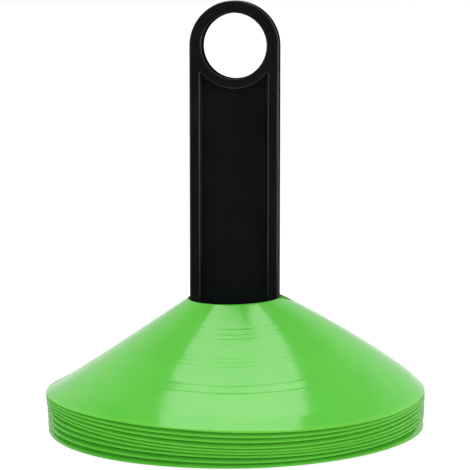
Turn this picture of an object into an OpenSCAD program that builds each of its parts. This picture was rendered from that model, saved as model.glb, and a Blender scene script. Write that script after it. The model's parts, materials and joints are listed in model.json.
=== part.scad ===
// Stack of disc marker cones on a flat carrier with a finger ring.
// Millimetres, +Z up, +X to the right along the carrier's broad face.
// The origin is on the ground, below the middle of the carrier's foot.

/* [Cone] */
// Outside diameter of a cone at its rim
cone_d = 200; // [180:1:220]
// Height of a cone from its rim to the edge of its hole
cone_h = 51; // [45:0.5:58]
// Thickness of the cone's wall
wall = 0.8; // [0.6:0.05:1]
// Width of the flatter brim round the rim, seen from above
brim_w = 7.6; // [5:0.1:12]
// How far the brim rises from the rim to the wall
brim_rise = 4.2; // [2:0.1:6]
// How far the wall bulges above a straight cone at its middle
crown = 1; // [0:0.1:2]
// Depth of the mould lines round the wall
line_depth = 0.2; // [0.1:0.05:0.3]
// Width of the mould lines round the wall
line_w = 0.8; // [0.5:0.1:1.2]

/* [Stack] */
// Closest gap between the walls of two cones
nest_gap = 0.3; // [0.2:0.05:1]
// Average spare height that a cone keeps above the one below
loose_rise = 0.8; // [0:0.05:1.5]
// Lean of the stack, left side down, as it settled on the foot
stack_lean = 1; // [0:0.1:1.2]
// Sideways slip of the holes from the middle of the carrier
stack_slip = 0.3; // [0:0.05:0.5]
// Closest gap between a hole and the carrier's edges
hole_gap = 0.35; // [0.2:0.05:1]
// Gap between the lowest point of the stack and the ground
ground_gap = 0.25; // [0.1:0.05:1]

/* [Carrier] */
// Height of the carrier from the ground to the top of its ring
carrier_h = 225; // [180:1:300]
// Width of the upright and outside diameter of the ring
upright_w = 46.6; // [42:0.2:52]
// Depth of the upright, ring and foot from front to back
upright_t = 12; // [9:0.5:15]
// Diameter of the finger hole in the ring
ring_hole_d = 33.8; // [28:0.2:36]
// Width of the thick flange along each edge of the upright
flange_w = 5.8; // [4.5:0.1:8]
// Thickness of the recessed web between the flanges
web_t = 2; // [1.6:0.1:3]
// Radius of the rounded edges of the ring and the flanges
edge_r = 1.5; // [0.8:0.1:2]

/* [Foot] */
// How far the foot reaches past the cone's hole on each side
foot_reach = 13.5; // [8:0.5:20]
// How far outside the hole's edge the sloping shoulders start
shoulder_in = 3; // [2:0.5:6]
// Gap between the shoulders and the lowest cone where it rests
seat_gap = 0.3; // [0.2:0.05:0.6]
// Width of the ribs round the edge of the foot
foot_rib = 3; // [2:0.1:4]
// Thickness of the cross foot's web
cross_web_t = 2.4; // [2:0.1:3]
// Gap on each side of the slots where upright and cross foot meet
slot_fit = 0.1; // [0.05:0.01:0.3]

/* [Hidden] */
$fn = 96;
cone_color = "#62d54a";
carrier_color = "#17171c";
// Overrun of every cut past the face that it opens
over = 1;

// Carrier, worked out from its section
upright_r = upright_w / 2;
ring_z = carrier_h - upright_r;
ring_hole_r = ring_hole_d / 2;
ring_band = upright_r - ring_hole_r;
corner_x = upright_r - edge_r;
corner_y = upright_t / 2 - edge_r;
corner_reach = norm([corner_x, corner_y]) + edge_r;
// Middle of a flange, where the web and the foot run into it
flange_x = upright_r - flange_w / 2;

// Cone, worked out from what its hole has to clear
cone_r = cone_d / 2;
hole_r = corner_reach + hole_gap + stack_slip;
brim_r = cone_r - brim_w;
wall_slope = (cone_h - brim_rise) / (brim_r - hole_r);
slope_len = sqrt(1 + wall_slope * wall_slope);
// Thickness of the wall measured straight down
wall_rise = wall * slope_len;
brim_h = wall_rise + brim_rise;
// Where the mould lines lie between the hole and the brim
line_shares = [0.21, 0.257, 0.294, 0.465, 0.5, 0.538, 0.71, 0.779, 1];
wall_steps = 2;
inner_steps = 12;

// Stack, from the bottom up: the spare height over each cone
loose_shares = [0.1, 1.5, 0.65, 0.05, 0.5, 1.75, 1.9, 1.55];
tight_rise = wall_rise + nest_gap * slope_len;
rim_z = ground_gap + cone_r * sin(stack_lean);
hole_z = rim_z + cone_h * cos(stack_lean);

// Foot, worked out from the hollow of the lowest cone
foot_r = hole_r + foot_reach;
shoulder_r = hole_r + shoulder_in;
slot_top = shoulder_z(foot_r) / 2;

// Height of a cone's outer face above its rim, at radius r
function outer_z(r) =
    r > brim_r
        ? wall_rise + brim_rise * (cone_r - r) / brim_w
        : let (share = (r - hole_r) / (brim_r - hole_r))
          cone_h + (brim_h - cone_h) * share + 4 * crown * share * (1 - share);

// Height of a cone's inner face above its rim, at radius r
function inner_z(r) = outer_z(r) - wall_rise;

// How far cone number k sits above the lowest one
function stack_rise(k) =
    k == 0 ? 0 : stack_rise(k - 1) + tight_rise + loose_rise * loose_shares[k - 1];

// Height of the lowest cone's inner face over the corner of the foot at x.
// The lean swings the wall sideways in step with its drop below the hole's edge.
function under_cone(x) =
    let (
        drop = cone_h - inner_z(norm([x, upright_t / 2])),
        cone_x = x + stack_slip - drop * sin(stack_lean)
    )
    rim_z + inner_z(norm([cone_x, upright_t / 2])) + x * tan(stack_lean);

// Height of the foot's shoulders at distance r, clear of the cone on both sides
function shoulder_z(r) = min(under_cone(-r), under_cone(r)) - seat_gap * slope_len;

// Radius of mould line number i, with the hole's edge before the first
function line_r(i) = i < 0 ? hole_r : hole_r + (brim_r - hole_r) * line_shares[i];

// Outer face from the hole to the brim: plain spans with a notch after each
function outer_points() = [
    for (i = [0 : len(line_shares) - 1])
        let (from = line_r(i - 1) + (i > 0 ? line_w / 2 : 0), to = line_r(i) - line_w / 2)
        for (step = [0 : wall_steps + 1])
            step > wall_steps
                ? [line_r(i), outer_z(line_r(i)) - line_depth]
                : let (r = from + (to - from) * step / wall_steps) [r, outer_z(r)]
];

// Inner face from the rim back to the hole
function inner_points() = [
    for (step = [0 : inner_steps])
        let (r = cone_r - (cone_r - hole_r) * step / inner_steps) [r, inner_z(r)]
];

// One cone, standing on its rim at the origin
module cone_shell() {
    brim_start = brim_r + line_w / 2;
    rotate_extrude()
        polygon(concat(
            outer_points(),
            [[brim_start, outer_z(brim_start)], [cone_r, wall_rise]],
            inner_points()
        ));
}

// Cone number k of the stack, the lowest being number 0
module cone(k) {
    color(cone_color)
        translate([-stack_slip, 0, hole_z + stack_rise(k)])
            rotate([0, -stack_lean, 0])
                translate([0, 0, -cone_h]) cone_shell();
}

// Rounded section of the ring and the flanges, from x = 0 to w
module edge_section(w) {
    translate([0, edge_r - upright_t / 2]) square([w, upright_t - 2 * edge_r]);
    translate([edge_r, -upright_t / 2]) square([w - 2 * edge_r, upright_t]);
    for (x = [edge_r, w - edge_r])
        for (y = [-corner_y, corner_y])
            translate([x, y]) circle(r = edge_r, $fn = 32);
}

// Finger ring round its level axis
module ring() {
    translate([0, 0, ring_z])
        rotate([90, 0, 0])
            rotate_extrude()
                translate([ring_hole_r, 0]) edge_section(ring_band);
}

// Thick flange along one edge of the upright
module flange() {
    translate([upright_r - flange_w, 0, 0])
        linear_extrude(height = ring_z) edge_section(flange_w);
}

// A plate of the given thickness, drawn upright in the XZ plane
module upright_plate(thickness) {
    translate([0, thickness / 2, 0])
        rotate([90, 0, 0])
            linear_extrude(height = thickness) children();
}

// Outline of one sloping shoulder of the foot, from x_in outwards, drawn in by inset
module shoulder_outline(x_in, inset) {
    drop = inset * slope_len;
    polygon([
        [x_in, inset],
        [foot_r - inset, inset],
        [foot_r - inset, shoulder_z(foot_r) - drop],
        [shoulder_r, shoulder_z(shoulder_r) - drop],
        [x_in, shoulder_z(shoulder_r) - drop]
    ]);
}

// One ribbed side of the foot: a web with a deep rib round its edge
module foot_side(x_in, thickness) {
    upright_plate(thickness) shoulder_outline(x_in, 0);
    upright_plate(upright_t)
        difference() {
            shoulder_outline(x_in, 0);
            shoulder_outline(x_in - over, foot_rib);
        }
}

// Recessed web between the flanges, up to the ring
module web() {
    difference() {
        translate([-flange_x, -web_t / 2, 0]) cube([2 * flange_x, web_t, ring_z]);
        translate([0, 0, ring_z])
            rotate([90, 0, 0])
                cylinder(r = ring_hole_r + ring_band / 2, h = web_t + 2 * over, center = true);
    }
}

// Rib along the ground between the two flanges
module ground_rib() {
    translate([-flange_x, -upright_t / 2, 0]) cube([2 * flange_x, upright_t, foot_rib]);
}

// Room for the cross foot: its deep lower rib, then its web up to half height
module cross_slot() {
    rib_room = upright_t / 2 + slot_fit;
    web_room = cross_web_t / 2 + slot_fit;
    translate([-rib_room, -upright_t / 2 - over, -over])
        cube([2 * rib_room, upright_t + 2 * over, foot_rib + slot_fit + over]);
    translate([-web_room, -upright_t / 2 - over, -over])
        cube([2 * web_room, upright_t + 2 * over, slot_top + over]);
}

module carrier_upright() {
    color(carrier_color)
        difference() {
            union() {
                ring();
                web();
                ground_rib();
                for (side = [0, 1])
                    mirror([side, 0, 0]) {
                        flange();
                        foot_side(flange_x, web_t);
                    }
            }
            cross_slot();
        }
}

module cross_foot() {
    web_room = web_t / 2 + slot_fit;
    color(carrier_color)
        rotate([0, 0, 90])
            difference() {
                for (side = [0, 1])
                    mirror([side, 0, 0]) foot_side(0, cross_web_t);
                translate([-web_room, -upright_t / 2 - over, slot_top])
                    cube([2 * web_room, upright_t + 2 * over, shoulder_z(shoulder_r)]);
            }
}

carrier_upright();
cross_foot();
cone(0);  // cone_01
cone(1);  // cone_02
cone(2);  // cone_03
cone(3);  // cone_04
cone(4);  // cone_05
cone(5);  // cone_06
cone(6);  // cone_07
cone(7);  // cone_08
cone(8);  // cone_09
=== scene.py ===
import json
import math

import bmesh
import bpy
from bpy.props import (FloatProperty, FloatVectorProperty, IntProperty, PointerProperty,
                       StringProperty)
from mathutils import Matrix, Vector, noise


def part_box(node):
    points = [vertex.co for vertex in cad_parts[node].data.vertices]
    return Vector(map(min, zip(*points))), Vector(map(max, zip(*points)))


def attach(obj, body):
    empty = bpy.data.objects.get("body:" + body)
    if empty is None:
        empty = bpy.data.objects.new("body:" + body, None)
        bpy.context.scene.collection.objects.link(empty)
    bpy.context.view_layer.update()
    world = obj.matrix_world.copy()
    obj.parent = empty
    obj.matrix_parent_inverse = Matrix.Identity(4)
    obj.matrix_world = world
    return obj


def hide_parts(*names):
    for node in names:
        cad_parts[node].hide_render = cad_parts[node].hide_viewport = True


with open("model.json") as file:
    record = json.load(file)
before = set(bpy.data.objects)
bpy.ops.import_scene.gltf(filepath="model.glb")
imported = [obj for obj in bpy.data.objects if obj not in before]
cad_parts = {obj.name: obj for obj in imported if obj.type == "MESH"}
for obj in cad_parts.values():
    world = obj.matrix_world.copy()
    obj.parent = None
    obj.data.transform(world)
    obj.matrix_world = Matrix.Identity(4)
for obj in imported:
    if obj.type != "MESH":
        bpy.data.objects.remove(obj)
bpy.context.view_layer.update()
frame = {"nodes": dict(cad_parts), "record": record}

bl_info = {
    "name": "Marker cones on a carrier",
    "version": (1, 0, 0),
    "blender": (4, 5, 0),
    "location": "3D View > Sidebar > Marker cones",
    "description": "Dresses a packed stack of disc marker cones and its carrier",
    "category": "Object",
}

MM = 0.001
CONES = sorted(name for name in frame["nodes"] if name.startswith("cone_"))
UPRIGHT = "carrier_upright"
FOOT = "cross_foot"


def box_mm(node):
    """Lowest and highest corners of a CAD node in millimetres."""
    low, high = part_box(node)
    return low / MM, high / MM


UPRIGHT_HIGH = box_mm(UPRIGHT)[1]
FOOT_HIGH = box_mm(FOOT)[1]
FINGER_HOLE = next(m for m in frame["record"]["mounts"] if m["name"] == "finger_hole")
RING_Z = FINGER_HOLE["pos_m"][2] / MM
RING_HOLE_R = FINGER_HOLE["dims"]["r_mm"]
RING_R = UPRIGHT_HIGH.z - RING_Z

# Points closer than this, in millimetres, lie at one place
NEAR = 0.01
# Vertices closer than this, in millimetres, become one
WELD = 0.001
# Faces that meet at more than this, in radians, make a corner
CORNER = 0.5

# Degrees in a full turn
FULL_TURN = 360
WHITE = (1, 1, 1, 1)
# Radiance of a card that gives off no light
BLACK = 0


class ConeSettings(bpy.types.PropertyGroup):
    """Sizes and colours of the disc cones, in millimetres and degrees."""

    radius: FloatProperty(name="Rim radius", description="From the axis to the rim", default=100.0)
    height: FloatProperty(name="Height", description="From the rim to the edge of the hole", default=51.0)
    hole_radius: FloatProperty(name="Hole radius", description="From the axis to the hole", default=24.41)
    wall: FloatProperty(name="Wall", description="Thickness of the shell", default=0.8)
    brim: FloatProperty(name="Brim width", description="Width of the flatter brim", default=7.6)
    brim_rise: FloatProperty(name="Brim rise", description="Height that the brim gains", default=5.1)
    crown: FloatProperty(name="Crown", description="Bulge of the wall above a straight cone", default=1.0)
    sag: FloatProperty(name="Sag", description="How much of the bulge the top cone has lost", default=2.8)
    side_crown: FloatProperty(name="Side crown", description="Its further bulge at both sides", default=3.3)
    right_crown: FloatProperty(name="Right crown", description="Bulge moved from left to right", default=1.68)
    brim_side: FloatProperty(name="Brim side", description="Rise of its brim's inner edge at the sides",
                             default=-0.6)
    brim_right: FloatProperty(name="Brim right", description="That rise moved from left to right",
                              default=0.85)
    hole_dip: FloatProperty(name="Hole dip", description="How far its hole dips at the front", default=0.4)
    hole_tilt: FloatProperty(name="Hole tilt", description="How far its hole tips to the left", default=0.16)
    rim_shift: FloatProperty(name="Rim shift", description="How far its rim is pushed left", default=0.43)
    narrow: FloatProperty(name="Narrow", description="How much the lowest rim is squeezed in", default=0.8)
    line_depth: FloatProperty(name="Line depth", description="Depth of the mould lines", default=0.035)
    line_width: FloatProperty(name="Line width", description="Width of the mould lines", default=0.8)
    band_tilt: FloatProperty(name="Band tilt", description="How much flatter the raised band lies",
                             default=0.03)
    lip: FloatProperty(name="Lip radius", description="Rounding of the hole's edge", default=0.36)
    rim_top: FloatProperty(name="Rim top", description="Rounding of the rim's upper edge", default=0.22)
    rim_under: FloatProperty(name="Rim underside", description="Rounding of the rim's lower edge",
                             default=0.62)
    lean: FloatProperty(name="Lean", description="Lean of the stack, left side down", default=1.0)
    slip: FloatProperty(name="Slip", description="Sideways slip of the stack on the carrier", default=0.3)
    ripple: FloatProperty(name="Ripple", description="Height of the walls' soft unevenness", default=0.05)
    ripple_length: FloatProperty(name="Ripple length", description="Size of that unevenness", default=38.0)
    steps: IntProperty(name="Steps", description="Steps in one full turn", default=288)
    green: StringProperty(name="Green", description="Colour of the plastic, sRGB hex", default="68D845")
    deep_green: StringProperty(name="Deep green", description="Where the pigment is denser, sRGB hex",
                               default="60D23E")
    # Painted glow: the lighter green painted along the thin rim, for the light that comes through it
    painted_glow_green: StringProperty(name="Edge green", default="92E85A",
                               description="Where light comes through the thin rim, sRGB hex")


class CarrierSettings(bpy.types.PropertyGroup):
    """Sizes and colours of the carrier, in millimetres."""

    depth: FloatProperty(name="Depth", description="Front to back", default=12.0)
    flange: FloatProperty(name="Flange width", description="From the outer edge to the recess", default=5.8)
    web: FloatProperty(name="Web", description="Thickness between the two recesses", default=2.0)
    ring_band: FloatProperty(name="Ring band", description="From the finger hole to the recess", default=5.3)
    edge: FloatProperty(name="Edge radius", description="Rounding of the outer edges", default=1.0)
    recess_edge: FloatProperty(name="Recess edge", description="Rounding round the recess", default=1.0)
    fillet: FloatProperty(name="Fillet", description="Round corner at the floor of the recess", default=0.35)
    rib: FloatProperty(name="Rib", description="Width of the ribs round the foot", default=3.0)
    recess_corner: FloatProperty(name="Recess corner", description="Rounding of the recess's corners",
                                 default=0.8)
    cross_web: FloatProperty(name="Cross web", description="Thickness of the cross foot's web", default=2.4)
    foot_edge: FloatProperty(name="Foot edge", description="Rounding of the foot's edges", default=0.4)
    slot_fit: FloatProperty(name="Slot fit", description="Gap on each side of the crossed slots", default=0.1)
    steps: IntProperty(name="Steps", description="Steps in a half turn of the ring", default=64)
    black: StringProperty(name="Black", description="Colour of the plastic, sRGB hex", default="17171B")
    worn_black: StringProperty(name="Worn black", description="Where the gloss is rubbed, sRGB hex",
                               default="1B1B1F")
    # Painted highlight: the pale grey painted as thin lines along the rounded edges of both broad faces
    painted_line_grey: StringProperty(name="Edge black", description="Rubbed edges, sRGB hex", default="303035")


class StageSettings(bpy.types.PropertyGroup):
    """Camera, lamps and floor, in metres and degrees."""

    distance: FloatProperty(name="Distance", description="Camera to the axis", default=1.0, unit="LENGTH")
    height: FloatProperty(name="Height", description="Camera above the ground", default=0.2284, unit="LENGTH")
    pitch: FloatProperty(name="Pitch", description="How far the camera looks down", default=7.17)
    turn: FloatProperty(name="Turn", description="How far the camera stands to the right", default=6.4)
    lens: FloatProperty(name="Lens", description="Focal length on a 36 mm wide sensor", default=146.9)
    softbox: FloatProperty(name="Softbox", description="Radiance of the overhead softbox", default=2.3)
    softbox_height: FloatProperty(name="Softbox height", description="Above the ground", default=1.25,
                                  unit="LENGTH")
    softbox_back: FloatProperty(name="Softbox back", description="Its back edge, behind the axis",
                                default=0.49, unit="LENGTH")
    softbox_side: FloatProperty(name="Softbox side", default=-0.0135, unit="LENGTH",
                                description="The middle of its back edge, right of the axis")
    softbox_turn: FloatProperty(name="Softbox turn", description="How far it turns right", default=-2.4)
    softbox_depth: FloatProperty(name="Softbox depth", description="Front to back", default=0.52,
                                 unit="LENGTH")
    softbox_width: FloatProperty(name="Softbox width", description="Left to right", default=0.87,
                                 unit="LENGTH")
    backdrop: FloatProperty(name="Backdrop", description="Radiance of the white backdrop", default=0.75)
    horizon_low: FloatProperty(name="Backdrop starts from", default=0.03,
                               description="Where the horizon's full white starts to fade, as a sine")
    horizon_high: FloatProperty(name="Backdrop starts at", default=0.12,
                                description="Where the backdrop's own white is reached, as a sine")
    ceiling: FloatProperty(name="Ceiling", description="Radiance above the backdrop, as a share of it",
                           default=0.5)
    ceiling_low: FloatProperty(name="Ceiling starts from", default=0.5,
                               description="Where the backdrop starts to fade, as a sine")
    ceiling_high: FloatProperty(name="Ceiling starts at", default=0.75,
                                description="Where the ceiling's radiance is reached, as a sine")
    room: FloatProperty(name="Room", description="Radiance of the room behind the camera", default=0.05)
    room_low: FloatProperty(name="Room ends from", default=0.05,
                            description="Where the backdrop starts, as a sine behind the axis")
    room_high: FloatProperty(name="Room ends at", default=0.4,
                             description="Where its full radiance is reached, as a sine behind the axis")
    right_light: FloatProperty(name="Right light", description="Share by which the right is brighter",
                               default=0.15)
    fill: FloatProperty(name="Fill", description="Even light from all sides on matt surfaces", default=0.8)
    floor: StringProperty(name="Floor", description="Colour of the floor, sRGB hex", default="F6F6F4")
    floor_light: FloatProperty(name="Floor light", description="Radiance of the glowing share", default=1.15)
    floor_glow: FloatProperty(name="Floor glow", description="Share of the floor shown as plain white",
                              default=0.85)
    floor_radius: FloatProperty(name="Floor radius", description="From the axis to its edge", default=40.0,
                                unit="LENGTH")
    floor_drop: FloatProperty(name="Floor drop", default=0.0001, unit="LENGTH",
                              description="How far it lies under the sole, so that the two don't flicker")
    card_inner: FloatProperty(name="Card inner radius", description="Where the dark cards start",
                              default=0.095, unit="LENGTH")
    card_outer: FloatProperty(name="Card outer radius", description="Where the dark ring ends", default=0.6,
                              unit="LENGTH")
    card_height: FloatProperty(name="Card height", description="Of the lower cards over the floor",
                               default=0.001, unit="LENGTH")
    near_sweep: FloatProperty(name="Near card sweep", description="How far it reaches round the front",
                              default=290)
    front_start: FloatProperty(name="Front card start", description="From the front to the right",
                               default=-28)
    front_sweep: FloatProperty(name="Front card sweep", description="How far it reaches round", default=36)
    side_card: FloatProperty(name="Side card", description="Radiance of the floor far to the sides",
                             default=0.65)
    ring_card_place: FloatVectorProperty(name="Ring card", description="Middle of the card behind the ring",
                                         default=(0.005, 0.03, 0.1525), unit="LENGTH")
    ring_card_size: FloatVectorProperty(name="Ring card size", description="Its width and height", size=2,
                                        default=(0.05, 0.18), unit="LENGTH")
    strip: FloatProperty(name="Strip lamp", description="Radiance of the low strip lamp", default=1.9)
    strip_place: FloatVectorProperty(name="Strip place", description="Its middle, before it is turned",
                                     default=(0, -1.2, 0.077), unit="LENGTH")
    strip_turn: FloatProperty(name="Strip turn", description="From the front to the right", default=45)
    strip_size: FloatVectorProperty(name="Strip size", description="Its width and height", size=2,
                                    default=(0.85, 0.063), unit="LENGTH")


def linear(code):
    """Turns an sRGB hex code into the linear colour that shaders take."""
    channels = [int(code[i:i + 2], 16) / 255 for i in (0, 2, 4)]
    return [c / 12.92 if c <= 0.04045 else ((c + 0.055) / 1.055) ** 2.4 for c in channels] + [1.0]


def add_node(tree, kind, settings=None, links=None):
    """Adds one node, with its properties and input values, and joins its inputs to other nodes' outputs."""
    node = tree.nodes.new(kind)
    for key, value in (settings or {}).items():
        if isinstance(key, int) or key in node.inputs:
            node.inputs[key].default_value = value
        else:
            setattr(node, key, value)
    for key, socket in (links or {}).items():
        tree.links.new(socket, node.inputs[key])
    return node


def new_material(name):
    """A new material and its emptied node tree."""
    material = bpy.data.materials.new(name)
    material.use_nodes = True
    material.node_tree.nodes.clear()
    return material, material.node_tree


def place_node(tree, size_mm):
    """Object coordinates in which one unit is size_mm on the real piece."""
    coords = add_node(tree, "ShaderNodeTexCoord")
    scale = 1 / (size_mm * MM)
    return add_node(tree, "ShaderNodeVectorMath", {"operation": "SCALE", "Scale": scale},
                    {0: coords.outputs["Object"]}).outputs[0]


def product(tree, first, second):
    """Two outputs multiplied with each other."""
    return add_node(tree, "ShaderNodeMath", {"operation": "MULTIPLY"}, {0: first, 1: second}).outputs[0]


def between(tree, value, low, high, settings=None):
    """A value mapped from low and high to 0 and 1, or to the limits that the settings give."""
    limits = {"From Min": low, "From Max": high}
    return add_node(tree, "ShaderNodeMapRange", limits | (settings or {}), {"Value": value}).outputs[0]


def grain(tree, size_mm, detail):
    """Soft noise whose clouds are about size_mm across."""
    return add_node(tree, "ShaderNodeTexNoise", {"Scale": 1.0, "Detail": detail},
                    {"Vector": place_node(tree, size_mm)}).outputs[0]


def green_polyethylene(s):
    """Soft low-density polyethylene, injection moulded: bright, waxy and glossy.

    The eye sees a clean green with faint clouds of pigment and sharp but slightly wavy reflections. A
    lighter, yellower line is painted along the thin rim as a painted glow, for the light that comes through
    it.
    """
    cloud_mm = 34
    flow_mm = 16
    peel_mm = 9
    # Painted glow: the outermost 2 mm of the rim is painted lighter, for the light that comes through it
    thin_from = s.radius - 2.2
    thin_to = s.radius - 0.2
    thin_share = 0.3
    material, tree = new_material("Moulded_green_polyethylene")
    cloud = between(tree, grain(tree, cloud_mm, detail=3.0), low=0.35, high=0.65)
    pigment = add_node(tree, "ShaderNodeMix",
                       {"data_type": "RGBA", 6: linear(s.deep_green), 7: linear(s.green)}, {0: cloud})
    radial = add_node(tree, "ShaderNodeVectorMath", {"operation": "MULTIPLY", 1: (1, 1, 0)},
                      {0: place_node(tree, 1)})
    radius = add_node(tree, "ShaderNodeVectorMath", {"operation": "LENGTH"}, {0: radial.outputs[0]})
    thin = between(tree, radius.outputs["Value"], thin_from, thin_to, {"To Max": thin_share})
    colour = add_node(tree, "ShaderNodeMix", {"data_type": "RGBA", 7: linear(s.painted_glow_green)},
                      {0: thin, 6: pigment.outputs[2]})
    rough = between(tree, grain(tree, flow_mm, detail=2.0), 0, 1, {"To Min": 0.1, "To Max": 0.17})
    bump = add_node(tree, "ShaderNodeBump", {"Strength": 0.35, "Distance": 0.06 * MM},
                    {"Height": grain(tree, peel_mm, detail=1.0)})
    shader = add_node(tree, "ShaderNodeBsdfPrincipled",
                      {"IOR": 1.51, "Subsurface Weight": 0.35, "Subsurface Radius": (0.35, 1.0, 0.15),
                       "Subsurface Scale": 1.5 * MM},
                      {"Base Color": colour.outputs[2], "Roughness": rough, "Normal": bump.outputs[0]})
    add_node(tree, "ShaderNodeOutputMaterial", None, {"Surface": shader.outputs[0]})
    return material


def black_polypropylene(s):
    """Black polypropylene, injection moulded in a polished tool.

    The eye sees a deep, slightly bluish black whose gloss is a little uneven, with thin pale lines painted
    along the rounded edges of both broad faces as a painted highlight.
    """
    rub_mm = 22
    sink_mm = 12
    # The painted highlight line lies on the rounding, short of the flat broad face
    face_y = s.depth / 2
    line_in = face_y - 0.8 * s.edge
    line_full = face_y - 0.4 * s.edge
    line_ends = face_y - 0.1
    flat_from = face_y - 0.03
    # The foot inside the stack gets no painted highlight
    painted_from = FOOT_HIGH.z
    painted_full = FOOT_HIGH.z + 5
    material, tree = new_material("Moulded_black_polypropylene")
    share = between(tree, grain(tree, rub_mm, detail=4.0), low=0.4, high=0.7)
    gloss = add_node(tree, "ShaderNodeMix",
                     {"data_type": "RGBA", 6: linear(s.black), 7: linear(s.worn_black)}, {0: share})
    split = add_node(tree, "ShaderNodeSeparateXYZ", None, {0: place_node(tree, 1)})
    off_middle = add_node(tree, "ShaderNodeMath", {"operation": "ABSOLUTE"}, {0: split.outputs["Y"]})
    line = product(tree, between(tree, off_middle.outputs[0], line_in, line_full),
                   between(tree, off_middle.outputs[0], flat_from, line_ends))
    # Mask of the painted highlight lines along the rounded edges, above the foot
    rubbed = product(tree, line, between(tree, split.outputs["Z"], painted_from, painted_full))
    colour = add_node(tree, "ShaderNodeMix", {"data_type": "RGBA", 7: linear(s.painted_line_grey)},
                      {0: rubbed, 6: gloss.outputs[2]})
    rough = between(tree, share, 0, 1, {"To Min": 0.1, "To Max": 0.2})
    bump = add_node(tree, "ShaderNodeBump", {"Strength": 0.3, "Distance": 0.05 * MM},
                    {"Height": grain(tree, sink_mm, detail=1.0)})
    shader = add_node(tree, "ShaderNodeBsdfPrincipled", {"IOR": 1.49},
                      {"Base Color": colour.outputs[2], "Roughness": rough, "Normal": bump.outputs[0]})
    add_node(tree, "ShaderNodeOutputMaterial", None, {"Surface": shader.outputs[0]})
    return material


def piece_from(bm, name, material, body, nodes):
    """Turns a bmesh in metres into a smooth piece that rides on a body and stands for CAD nodes."""
    for face in bm.faces:
        face.smooth = True
    mesh = bpy.data.meshes.new(name)
    bm.to_mesh(mesh)
    bm.free()
    mesh.materials.append(material)
    piece = bpy.data.objects.new(name, mesh)
    bpy.context.scene.collection.objects.link(piece)
    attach(piece, body)
    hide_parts(*nodes)
    return piece


def corner_edges(bm, test=None):
    """Edges where two faces meet at a corner and that pass a test, if there is one."""
    return [e for e in bm.edges if e.is_manifold and e.calc_face_angle() > CORNER and (not test or test(e))]


def round_edges(bm, edges, radius, segments, clamp=True):
    """Rounds edges off, or fills them in where they are inner corners."""
    bmesh.ops.bevel(bm, geom=edges, offset=radius, offset_type="OFFSET", segments=segments, profile=0.5,
                    affect="EDGES", clamp_overlap=clamp, material=-1)


# Cones


# How much higher than packed each rim rests at the front, from the bottom up, how much higher than its
# front it rests at the left and at the right, and how far it twists out of flat, in millimetres
FRONT_LIFTS = (-0.6, 0.6, 0.9, 0.8, 0.8, 0.7, 0.8, 0.4, 0.4)
LEFT_RISES = (-1.0, -0.6, -0.1, 1.4, 3.5, 3.8, 2.3, 1.2, -0.3)
RIGHT_RISES = (1.2, 3.5, 2.5, 3.3, 4.1, 4.9, 4.1, 2.9, 1.4)
TWISTS = (-0.5, 0.2, 0.65, 1.0, 1.3, 1.3, 1.3, 1.3, 1.3)
# Where the mould lines lie between the hole and the brim, and the two of them that bound the raised band
LINE_SHARES = (0.21, 0.257, 0.294, 0.465, 0.5, 0.538, 0.71, 0.779, 1.0)
BAND_LINES = (6, 7)
# Samples across a mould line, as shares of half its width
LINE_SAMPLES = (-1, -0.66, -0.33, 0, 0.33, 0.66, 1)


def arch(share):
    """A bulge that is 0 at both ends of a span and 1 at its middle."""
    return 4 * share * (1 - share)


def line_radii(s):
    """Radii of the mould lines, from the hole outwards."""
    span = s.radius - s.brim - s.hole_radius
    return [s.hole_radius + span * share for share in LINE_SHARES]


def plain_z(s, r):
    """Height of the outer face above the rim, without the mould lines."""
    slope = (s.height - s.brim_rise) / (s.radius - s.brim - s.hole_radius)
    wall_rise = s.wall * math.hypot(1, slope)
    brim_r = s.radius - s.brim
    if r > brim_r:
        return wall_rise + s.brim_rise * (s.radius - r) / s.brim
    share = (r - s.hole_radius) / (brim_r - s.hole_radius)
    low = wall_rise + s.brim_rise
    return s.height + (low - s.height) * share + s.crown * arch(share)


def outer_z(s, r):
    """Height of the outer face above the rim, with the mould lines and the flatter band."""
    z = plain_z(s, r)
    lines = line_radii(s)
    for line in lines:
        offset = abs(r - line) / (s.line_width / 2)
        if offset < 1:
            z -= s.line_depth * math.cos(offset * math.pi / 2) ** 2
    band_in, band_out = (lines[i] for i in BAND_LINES)
    if band_in < r < band_out:
        z += s.band_tilt * (r - (band_in + band_out) / 2)
    return z


def profile_radii(s):
    """Radii at which the outer face is sampled: evenly, and closely across each mould line."""
    coarse = 1.2
    half = s.line_width / 2
    room = 1.3 * half
    count = round((s.radius - s.hole_radius) / coarse)
    even = [s.hole_radius + (s.radius - s.hole_radius) * i / count for i in range(count + 1)]
    lines = line_radii(s)
    clear = [r for r in even if all(abs(r - line) > room for line in lines)]
    close = [line + half * share for line in lines for share in LINE_SAMPLES]
    return sorted(clear + close)


def cone_mesh(s):
    """One cone in millimetres, standing on its rim: a spun shell with rounded lips."""
    bm = bmesh.new()
    wall_rise = plain_z(s, s.radius)
    outside = [(r, outer_z(s, r)) for r in profile_radii(s)]
    inside_count = 24
    lip_steps = 4
    inside_radii = [s.radius - (s.radius - s.hole_radius) * i / inside_count for i in range(inside_count + 1)]
    inside = [(r, plain_z(s, r) - wall_rise) for r in inside_radii]
    verts = [bm.verts.new((r, 0, z)) for r, z in outside + inside]
    edges = [bm.edges.new((a, b)) for a, b in zip(verts, verts[1:] + verts[:1])]
    bmesh.ops.spin(bm, geom=verts + edges, cent=(0, 0, 0), axis=(0, 0, 1), angle=math.tau, steps=s.steps,
                   use_merge=True)
    bmesh.ops.recalc_face_normals(bm, faces=bm.faces)
    sharp = corner_edges(bm)
    rim = [e for e in sharp if math.hypot(*e.verts[0].co.xy) > s.radius - s.brim]
    under = [e for e in rim if e.verts[0].co.z < wall_rise / 2]
    top = [e for e in rim if e not in under]
    hole = [e for e in sharp if e not in rim]
    for edges, radius in ((top, s.rim_top), (under, s.rim_under), (hole, s.lip)):
        round_edges(bm, edges, radius, lip_steps)
    return bm


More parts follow.
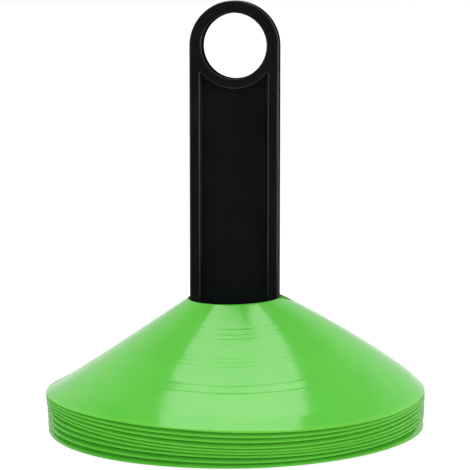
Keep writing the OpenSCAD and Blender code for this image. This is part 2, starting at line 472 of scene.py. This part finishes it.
def rim_lift(s, index, turn):
    """How far a cone's rim rests above its packed height in one direction, as soft cones do when stacked."""
    along = math.cos(turn)
    rises = LEFT_RISES if along < 0 else RIGHT_RISES
    level = s.radius * math.sin(math.radians(s.lean)) * along
    return FRONT_LIFTS[index] + rises[index] * along ** 2 + TWISTS[index] * math.sin(2 * turn) - level


def wall_lift(s, r, reach, turn):
    """How far the top cone's wall stands above the plain cone: it sags, but bulges at the sides."""
    side_spread = 1.4
    along = math.cos(turn)
    outward = min(reach, 1)
    wall = min(1, (r - s.hole_radius) / (s.radius - s.brim - s.hole_radius))
    crown = s.side_crown * abs(along) ** side_spread + s.right_crown * along ** 3
    bulge = crown * arch(outward) - s.sag * arch(wall)
    brim_share = max(0, min(wall, (s.radius - r) / s.brim))
    brim = (s.brim_side * along ** 2 + s.brim_right * along ** 3) * brim_share
    front = ((1 - math.sin(turn)) / 2) ** 2
    hole = (s.hole_tilt * along - s.hole_dip * front) * (1 - outward)
    return bulge + brim + hole


def settle_cone(bm, s, index, low_z):
    """Bends a shell as its place in the stack does, then leans it and sets it down at low_z.

    The higher a cone lies in the stack, the more its wall has the shape of the top cone's. The lowest rims
    are squeezed in, and the squeeze ends at a share of the stack's height.
    """
    squeeze_ends = 0.75
    rim_spread = 1.2
    share = index / (len(CONES) - 1)
    squeezed = s.narrow * (1 - min(1, share / squeeze_ends))
    for v in bm.verts:
        r = math.hypot(v.co.x, v.co.y)
        reach = max((r - s.hole_radius) / (s.radius - s.hole_radius), 0)
        turn = math.atan2(v.co.y, v.co.x)
        flow = Vector((v.co.x, v.co.y, 0)) / s.ripple_length
        v.co.z += rim_lift(s, index, turn) * reach ** rim_spread + s.ripple * noise.noise(flow)
        v.co.z += wall_lift(s, r, reach, turn) * share ** 2
        squeeze = 1 - squeezed * reach / r
        v.co.x = v.co.x * squeeze - s.rim_shift * share ** 2 * reach
        v.co.y *= squeeze
    lean = math.radians(s.lean)
    rim_z = low_z + s.radius * math.sin(lean)
    hole_z = rim_z + s.height * math.cos(lean)
    place = (Matrix.Translation((-s.slip, 0, hole_z)) @ Matrix.Rotation(-lean, 4, "Y")
             @ Matrix.Translation((0, 0, -s.height)))
    bmesh.ops.transform(bm, matrix=Matrix.Scale(MM, 4) @ place, verts=bm.verts)


class MARKER_OT_cones(bpy.types.Operator):
    """Builds the nine disc cones as spun shells"""

    bl_idname = "marker.cones"
    bl_label = "Disc cones"

    def execute(self, context):
        s = context.scene.marker_cones
        material = green_polyethylene(s)
        plain = cone_mesh(s)
        for index, name in enumerate(CONES):
            bm = plain.copy()
            settle_cone(bm, s, index, box_mm(name)[0].z)
            piece_from(bm, name + "_shell", material, name, [name])
        plain.free()
        return {"FINISHED"}


# Carrier


def chain_spin(bm, vert, centre, degrees, steps):
    """Carries an edge chain on round an arc in the XZ plane and returns its last vertex."""
    made = bmesh.ops.spin(bm, geom=[vert], cent=centre, axis=(0, 1, 0), angle=math.radians(degrees),
                          steps=steps)
    return made["geom_last"][0]


def chain_to(bm, vert, x, z):
    """Carries an edge chain straight on to a point in the XZ plane and returns its last vertex."""
    made = bmesh.ops.extrude_vert_indiv(bm, verts=[vert])["verts"][0]
    made.co = (x, vert.co.y, z)
    return made


def recess_sizes(s):
    """Half the width of the recess, and the radius round the ring at which it ends."""
    return RING_R - s.flange, RING_HOLE_R + s.ring_band


def fill_between(bm, verts):
    """Fills the outline whose edges run between the given vertices."""
    edges = [e for e in bm.edges if e.verts[0] in verts and e.verts[1] in verts]
    bmesh.ops.contextual_create(bm, geom=edges)


def upright_outline(s, feet):
    """The flat front face of the upright in millimetres: the rim round the recess, the recess and the feet.

    Its right half is drawn as one chain, with the seam between the upright and its foot, and then mirrored.
    """
    bm = bmesh.new()
    front_y = -s.depth / 2
    centre = (0, front_y, RING_Z)
    recess_x, recess_r = recess_sizes(s)
    corner_z = RING_Z - math.sqrt(recess_r ** 2 - recess_x ** 2)
    sweep = math.degrees(math.asin(recess_x / recess_r))
    seam_x = RING_R - s.rib

    # The ring, the flank and the rim round the recess
    at = bm.verts.new((0, front_y, RING_Z - RING_HOLE_R))
    at = chain_spin(bm, at, centre, -180, s.steps)
    at = chain_to(bm, at, 0, RING_Z + RING_R)
    at = chain_spin(bm, at, centre, 90, s.steps)
    flank = chain_to(bm, at, RING_R, feet["top"])
    seam_top = chain_to(bm, flank, seam_x, feet["top"])
    seam_low = chain_to(bm, seam_top, seam_x, 0)
    at = chain_to(bm, seam_low, 0, 0)
    recess_foot = chain_to(bm, at, 0, s.rib)
    at = chain_to(bm, recess_foot, recess_x, s.rib)
    at = chain_to(bm, at, recess_x, corner_z)
    recess_top = chain_spin(bm, at, centre, sweep, s.steps // 2)
    recess_top.co.x = 0
    chain_to(bm, recess_top, 0, RING_Z - RING_HOLE_R)
    bmesh.ops.remove_doubles(bm, verts=bm.verts, dist=WELD)
    bmesh.ops.contextual_create(bm, geom=bm.edges[:])

    # The floor of the recess
    recess = [v for v in bm.verts if v.co.x < recess_x + NEAR and s.rib - NEAR < v.co.z < RING_Z
              and (v.co - Vector(centre)).length > recess_r - NEAR]
    bm.edges.new((recess_foot, recess_top))
    fill_between(bm, recess)

    # The foot with its sloping shoulder
    at = chain_to(bm, seam_low, feet["reach"], 0)
    at = chain_to(bm, at, feet["reach"], feet["low"])
    at = chain_to(bm, at, feet["start"], feet["top"])
    chain_to(bm, at, RING_R, feet["top"])
    bmesh.ops.remove_doubles(bm, verts=bm.verts, dist=WELD)
    fill_between(bm, [v for v in bm.verts if v.co.x > seam_x - NEAR and v.co.z < feet["top"] + NEAR])

    bmesh.ops.mirror(bm, geom=bm.verts[:] + bm.edges[:] + bm.faces[:], merge_dist=WELD, axis="X")
    middle = [e for e in bm.edges if all(abs(v.co.x) < WELD for v in e.verts)
              and e.calc_length() > 2 * RING_R]
    bmesh.ops.dissolve_edges(bm, edges=middle, use_verts=False)
    bmesh.ops.recalc_face_normals(bm, faces=bm.faces)
    return bm


def pocket(bm, faces, depth):
    """Sinks flat faces into the solid by depth, each against its own normal."""
    for face in faces:
        inward = -face.normal * depth
        sunk = bmesh.ops.extrude_discrete_faces(bm, faces=[face])["faces"][0]
        bmesh.ops.translate(bm, verts=sunk.verts, vec=inward)


def flat_faces(bm, axis, at):
    """Faces that lie square to an axis (0 to 2) at a distance either side of the middle."""
    square = 0.9
    return [f for f in bm.faces if abs(f.normal[axis]) > square
            and abs(abs(f.calc_center_median()[axis]) - at) < NEAR]


def on_plane(edge, axis, at):
    """True where both ends of an edge lie at a distance either side of the middle."""
    return all(abs(abs(v.co[axis]) - at) < NEAR for v in edge.verts)


def thicken(bm, axis, depth):
    """Turns a flat outline at -depth / 2 into a solid plate about the middle."""
    made = bmesh.ops.extrude_face_region(bm, geom=bm.faces[:])["geom"]
    step = Vector((0, 0, 0))
    step[axis] = depth
    bmesh.ops.translate(bm, verts=[g for g in made if isinstance(g, bmesh.types.BMVert)], vec=step)
    bmesh.ops.recalc_face_normals(bm, faces=bm.faces)


def sink_sides(s, bm, faces, web):
    """Sinks both broad faces of a foot down to its web, but for the rib round their edges."""
    bmesh.ops.inset_region(bm, faces=faces, thickness=s.rib, use_boundary=True, use_even_offset=True)
    pocket(bm, faces, (s.depth - web) / 2)


def upright_solid(s, feet):
    """The whole upright in millimetres, with its recesses, round edges and fillets, but without the slot."""
    bm = upright_outline(s, feet)
    thicken(bm, 1, s.depth)
    half = s.depth / 2
    recess_x, recess_r = recess_sizes(s)
    arc_slack = 0.05

    faces = flat_faces(bm, 1, half)
    recesses = [f for f in faces if all(abs(v.co.x) < recess_x + NEAR for v in f.verts)]
    pocket(bm, recesses, (s.depth - s.web) / 2)
    sink_sides(s, bm, [f for f in flat_faces(bm, 1, half) if abs(f.calc_center_median().x) > RING_R], s.web)

    def in_recess(edge):
        return all(abs(v.co.x) < recess_x + NEAR and s.rib - NEAR < v.co.z < RING_Z
                   and math.hypot(v.co.x, v.co.z - RING_Z) > recess_r - arc_slack for v in edge.verts)

    def in_side(edge):
        return all(RING_R - NEAR < abs(v.co.x) < feet["reach"] - s.rib + NEAR
                   and s.rib - NEAR < v.co.z < feet["top"] - s.rib + NEAR for v in edge.verts)

    def across(edge):
        return abs(edge.verts[0].co.y - edge.verts[1].co.y) > s.web / 2

    def over_foot(edge):
        return min(v.co.z for v in edge.verts) > feet["top"] - NEAR

    # The recess's rim isn't clamped, because its fine arc would hold the rounding to a fraction of its radius
    round_edges(bm, corner_edges(bm, lambda e: in_recess(e) and across(e)), s.recess_corner, segments=5)
    rims = corner_edges(bm, lambda e: in_recess(e) and on_plane(e, 1, half))
    outline = corner_edges(bm, lambda e: on_plane(e, 1, half) and over_foot(e)
                           and not in_recess(e) and not in_side(e))
    floors = corner_edges(bm, lambda e: in_recess(e) and on_plane(e, 1, s.web / 2))
    round_edges(bm, floors, s.fillet, segments=8)
    round_edges(bm, rims, s.recess_edge, segments=4, clamp=False)
    round_edges(bm, outline, s.edge, segments=8)
    round_edges(bm, corner_edges(bm, lambda e: on_plane(e, 1, half)), s.foot_edge, segments=3)
    return bm


def slot_cutter(s, widths):
    """Boxes through the plate for the crossed slot: each is (half width, low, high) in millimetres."""
    bm = bmesh.new()
    for half_width, low, high in widths:
        made = bmesh.ops.create_cube(bm, size=1)["verts"]
        bmesh.ops.scale(bm, verts=made, vec=(2 * half_width, 2 * s.depth, high - low))
        bmesh.ops.translate(bm, verts=made, vec=(0, 0, (low + high) / 2))
    return bm


def cross_plate(s, feet):
    """The crosswise plate in millimetres, standing along Y, with a rib round its edge."""
    bm = bmesh.new()
    at = bm.verts.new((-s.depth / 2, 0, 0))
    shoulder = ((feet["reach"], 0), (feet["reach"], feet["low"]), (feet["start"], feet["top"]),
                (0, feet["top"]))
    for y, z in shoulder:
        at = bmesh.ops.extrude_vert_indiv(bm, verts=[at])["verts"][0]
        at.co = (-s.depth / 2, y, z)
    bmesh.ops.mirror(bm, geom=bm.verts[:] + bm.edges[:], merge_dist=WELD, axis="Y")
    bmesh.ops.contextual_create(bm, geom=bm.edges[:])
    thicken(bm, 0, s.depth)
    sink_sides(s, bm, flat_faces(bm, 0, s.depth / 2), s.cross_web)
    round_edges(bm, corner_edges(bm), s.foot_edge, segments=3)
    return bm


def cut_away(bm, cutter, quarter_turn=False):
    """Cuts one bmesh out of another with Blender's exact boolean and returns the rest as a bmesh."""
    if quarter_turn:
        bmesh.ops.rotate(cutter, verts=cutter.verts, matrix=Matrix.Rotation(math.pi / 2, 3, "Z"))
    solids = []
    for part, label in ((bm, "plate"), (cutter, "cutter")):
        mesh = bpy.data.meshes.new(label)
        part.to_mesh(mesh)
        part.free()
        solids.append(bpy.data.objects.new(label, mesh))
        bpy.context.scene.collection.objects.link(solids[-1])
    plate, tool = solids
    boolean = plate.modifiers.new("Slot", "BOOLEAN")
    boolean.operation = "DIFFERENCE"
    boolean.solver = "EXACT"
    boolean.use_self = True
    boolean.object = tool
    bpy.context.view_layer.update()
    evaluated = plate.evaluated_get(bpy.context.evaluated_depsgraph_get())
    rest = bmesh.new()
    rest.from_mesh(evaluated.to_mesh())
    evaluated.to_mesh_clear()
    for solid in solids:
        mesh = solid.data
        bpy.data.objects.remove(solid)
        bpy.data.meshes.remove(mesh)
    return rest


def foot_sizes(s):
    """Heights and reach of the foot's sloping shoulders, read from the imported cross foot.

    Its slot starts at the lowest point near the middle that lies clear of both ribs.
    """
    points = [v.co / MM for v in frame["nodes"][FOOT].data.vertices]
    tolerance = 0.05
    clear_of_rib = s.rib + 1
    reach = FOOT_HIGH.y
    top = FOOT_HIGH.z
    middle = [p.z for p in points if max(abs(p.x), abs(p.y)) < s.web]
    return {
        "reach": reach,
        "top": top,
        "low": max(p.z for p in points if p.y > reach - tolerance),
        "start": max(p.y for p in points if p.z > top - tolerance),
        "slot_top": min(z for z in middle if clear_of_rib < z < top - clear_of_rib),
    }


def finish_carrier(bm, name, material, node):
    """Turns a carrier part from millimetres into a piece of the carrier whose flat faces look flat."""
    bmesh.ops.transform(bm, matrix=Matrix.Scale(MM, 4), verts=bm.verts)
    piece = piece_from(bm, name, material, "carrier", [node])
    weighted = piece.modifiers.new("Weighted normals", "WEIGHTED_NORMAL")
    weighted.keep_sharp = True


class MARKER_OT_carrier(bpy.types.Operator):
    """Builds the upright with its finger ring and the cross foot"""

    bl_idname = "marker.carrier"
    bl_label = "Carrier"

    def execute(self, context):
        s = context.scene.marker_carrier
        material = black_polypropylene(s)
        feet = foot_sizes(s)
        upright = upright_solid(s, feet)
        below = -s.rib
        half_web = s.cross_web / 2 + s.slot_fit
        half_rib = s.depth / 2 + s.slot_fit
        widths = ((half_web, below, feet["slot_top"]), (half_rib, below, s.rib + s.slot_fit))
        upright = cut_away(upright, slot_cutter(s, widths))
        finish_carrier(upright, "carrier_upright_moulding", material, UPRIGHT)
        cross = cross_plate(s, feet)
        widths = ((s.web / 2 + s.slot_fit, feet["slot_top"], feet["top"] + s.rib),)
        cross = cut_away(cross, slot_cutter(s, widths), quarter_turn=True)
        finish_carrier(cross, "cross_foot_moulding", material, FOOT)
        return {"FINISHED"}


# Stage


def floor_material(name, colour, glow, radiance):
    """A matt floor that the camera and reflections see partly as light."""
    material, tree = new_material(name)
    rays = add_node(tree, "ShaderNodeLightPath")
    seen = add_node(tree, "ShaderNodeMath", {"operation": "MAXIMUM"},
                    {0: rays.outputs["Is Camera Ray"], 1: rays.outputs["Is Glossy Ray"]})
    through = add_node(tree, "ShaderNodeMath", {"operation": "MAXIMUM"},
                       {0: seen.outputs[0], 1: rays.outputs["Is Transmission Ray"]})
    share = add_node(tree, "ShaderNodeMath", {"operation": "MULTIPLY", 1: glow}, {0: through.outputs[0]})
    matt = add_node(tree, "ShaderNodeBsdfDiffuse", {"Color": colour})
    light = add_node(tree, "ShaderNodeEmission", {"Color": WHITE, "Strength": radiance})
    mix = add_node(tree, "ShaderNodeMixShader", None,
                   {0: share.outputs[0], 1: matt.outputs[0], 2: light.outputs[0]})
    add_node(tree, "ShaderNodeOutputMaterial", None, {"Surface": mix.outputs[0]})
    return material


def stage_mesh(bm, name, material):
    """Turns a bmesh in metres into a stage object, which is no part of the product."""
    mesh = bpy.data.meshes.new(name)
    bm.to_mesh(mesh)
    bm.free()
    mesh.materials.append(material)
    thing = bpy.data.objects.new(name, mesh)
    bpy.context.scene.collection.objects.link(thing)
    return thing


def only_in_reflections(thing):
    """Lets a card be seen by glossy rays and by nothing else."""
    thing.visible_camera = False
    thing.visible_diffuse = False
    thing.visible_transmission = False
    thing.visible_shadow = False
    thing.visible_volume_scatter = False


def card_material(name, radiance):
    """A card that gives off an even white light, or none."""
    material, tree = new_material(name)
    light = add_node(tree, "ShaderNodeEmission", {"Color": WHITE, "Strength": radiance})
    add_node(tree, "ShaderNodeOutputMaterial", None, {"Surface": light.outputs[0]})
    return material


def ground_card(name, radii, start, sweep, height, radiance):
    """A flat ring, or a part of one, over the floor for reflections only.

    Its start and sweep are in degrees, counted from the front to the right.
    """
    bm = bmesh.new()
    turn = Matrix.Rotation(math.radians(start), 3, "Z")
    ends = [bm.verts.new(turn @ Vector((0, -radius, height))) for radius in radii]
    edge = bm.edges.new(ends)
    bmesh.ops.spin(bm, geom=ends + [edge], cent=(0, 0, 0), axis=(0, 0, 1), angle=math.radians(sweep),
                   steps=72, use_merge=sweep >= FULL_TURN)
    only_in_reflections(stage_mesh(bm, name, card_material(name, radiance)))


def floor(s):
    """A wide pale floor, and the cards over it that only reflections see."""
    bm = bmesh.new()
    bmesh.ops.create_circle(bm, cap_ends=True, segments=96, radius=s.floor_radius,
                            matrix=Matrix.Translation((0, 0, -s.floor_drop)))
    stage_mesh(bm, "floor", floor_material("Pale_floor", linear(s.floor), s.floor_glow, s.floor_light))
    far = 0.99 * s.floor_radius
    low = s.card_height
    ground_card("side_card", (s.card_outer, far), 0, FULL_TURN, low, s.side_card)
    ground_card("near_card", (s.card_inner, s.card_outer), -s.near_sweep / 2, s.near_sweep, low, BLACK)
    ground_card("front_card", (s.card_inner, far), s.front_start, s.front_sweep, 2 * low, BLACK)


def upright_card(name, middle, turn, size, radiance):
    """An upright rectangle for reflections only, which faces the object.

    It is placed as seen from the front and then turned to the right round the axis, in degrees.
    """
    half_unit = 0.5
    bm = bmesh.new()
    bmesh.ops.create_grid(bm, x_segments=1, y_segments=1, size=half_unit)
    place = (Matrix.Rotation(math.radians(turn), 4, "Z") @ Matrix.Translation(middle)
             @ Matrix.Rotation(math.pi / 2, 4, "X") @ Matrix.Diagonal((*size, 1, 1)))
    bmesh.ops.transform(bm, matrix=place, verts=bm.verts)
    only_in_reflections(stage_mesh(bm, name, card_material(name, radiance)))


def cards(s):
    """A dark card close behind the ring, and a long low lamp at the front right.

    The card keeps the inside of the ring dark, and the lamp draws the bright line in the recess.
    """
    upright_card("ring_card", s.ring_card_place, 0, s.ring_card_size, BLACK)
    upright_card("low_strip", s.strip_place, s.strip_turn, s.strip_size, s.strip)


def softbox(s, turn):
    """A level softbox overhead, nearly square to the camera, whose back edge lies behind the axis."""
    watts_per_radiance = 4 * s.softbox_width * s.softbox_depth
    lamp = bpy.data.lights.new("softbox", "AREA")
    lamp.shape = "RECTANGLE"
    lamp.size = s.softbox_width
    lamp.size_y = s.softbox_depth
    lamp.energy = watts_per_radiance * s.softbox
    box = bpy.data.objects.new("softbox", lamp)
    back = Matrix.Translation((s.softbox_side, s.softbox_back, s.softbox_height))
    box.matrix_world = (Matrix.Rotation(turn, 4, "Z") @ back
                        @ Matrix.Rotation(-math.radians(s.softbox_turn), 4, "Z")
                        @ Matrix.Translation((0, -s.softbox_depth / 2, 0)))
    bpy.context.scene.collection.objects.link(box)


def faded(tree, value, low, high, start, end):
    """A radiance that goes softly from start to end while a value goes from low to high."""
    return between(tree, value, low, high,
                   {"interpolation_type": "SMOOTHSTEP", "To Min": start, "To Max": end})


def surroundings(s):
    """A white backdrop behind and at the sides, a dimmer ceiling and a dark room behind the camera."""
    world = bpy.data.worlds.new("Studio")
    bpy.context.scene.world = world
    world.use_nodes = True
    tree = world.node_tree
    tree.nodes.clear()
    coords = add_node(tree, "ShaderNodeTexCoord")
    way = add_node(tree, "ShaderNodeSeparateXYZ", None, {0: coords.outputs["Generated"]}).outputs
    horizon = faded(tree, way["Z"], s.horizon_low, s.horizon_high, 1, s.backdrop)
    rise = faded(tree, way["Z"], s.ceiling_low, s.ceiling_high, 1, s.ceiling)
    behind = faded(tree, way["Y"], s.room_low, s.room_high, s.room, 1)
    side = between(tree, way["X"], -1, 1, {"To Min": 1 - s.right_light, "To Max": 1 + s.right_light})
    total = product(tree, product(tree, product(tree, horizon, rise), behind), side)
    rays = add_node(tree, "ShaderNodeLightPath")
    seen = add_node(tree, "ShaderNodeMix", {3: s.fill}, {0: rays.outputs["Is Diffuse Ray"], 2: total})
    sky = add_node(tree, "ShaderNodeBackground", {"Color": WHITE}, {"Strength": seen.outputs[0]})
    add_node(tree, "ShaderNodeOutputWorld", None, {"Surface": sky.outputs[0]})


class MARKER_OT_stage(bpy.types.Operator):
    """Adds the floor, the cards, the lamps and the camera"""

    bl_idname = "marker.stage"
    bl_label = "Stage"

    def execute(self, context):
        s = context.scene.marker_stage
        turn = math.radians(s.turn)
        floor(s)
        cards(s)
        surroundings(s)
        softbox(s, turn)
        camera = bpy.data.cameras.new("camera")
        camera.sensor_width = 36
        camera.lens = s.lens
        camera.clip_start = 0.05
        camera.clip_end = 100
        view = bpy.data.objects.new("camera", camera)
        view.location = (s.distance * math.sin(turn), -s.distance * math.cos(turn), s.height)
        view.rotation_euler = (math.radians(90 - s.pitch), 0, turn)
        context.scene.collection.objects.link(view)
        context.scene.camera = view
        context.scene.view_settings.view_transform = "Standard"
        return {"FINISHED"}


class MARKER_PT_panel(bpy.types.Panel):
    """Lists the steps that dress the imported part"""

    bl_label = "Marker cones"
    bl_idname = "MARKER_PT_panel"
    bl_space_type = "VIEW_3D"
    bl_region_type = "UI"
    bl_category = "Marker cones"

    def draw(self, context):
        scene = context.scene
        for operator, settings in ((MARKER_OT_cones, scene.marker_cones),
                                   (MARKER_OT_carrier, scene.marker_carrier),
                                   (MARKER_OT_stage, scene.marker_stage)):
            self.layout.operator(operator.bl_idname)
            column = self.layout.column(align=True)
            for key in settings.__annotations__:
                column.prop(settings, key)


CLASSES = (ConeSettings, CarrierSettings, StageSettings, MARKER_OT_cones, MARKER_OT_carrier, MARKER_OT_stage,
           MARKER_PT_panel)
SETTINGS = {"marker_cones": ConeSettings, "marker_carrier": CarrierSettings, "marker_stage": StageSettings}


def register():
    for cls in CLASSES:
        bpy.utils.register_class(cls)
    for key, cls in SETTINGS.items():
        setattr(bpy.types.Scene, key, PointerProperty(type=cls))


def unregister():
    for key in SETTINGS:
        delattr(bpy.types.Scene, key)
    for cls in reversed(CLASSES):
        bpy.utils.unregister_class(cls)


def main():
    register()
    bpy.ops.marker.cones()
    bpy.ops.marker.carrier()
    bpy.ops.marker.stage()
    bpy.context.view_layer.update()


if __name__ == "__main__":
    main()
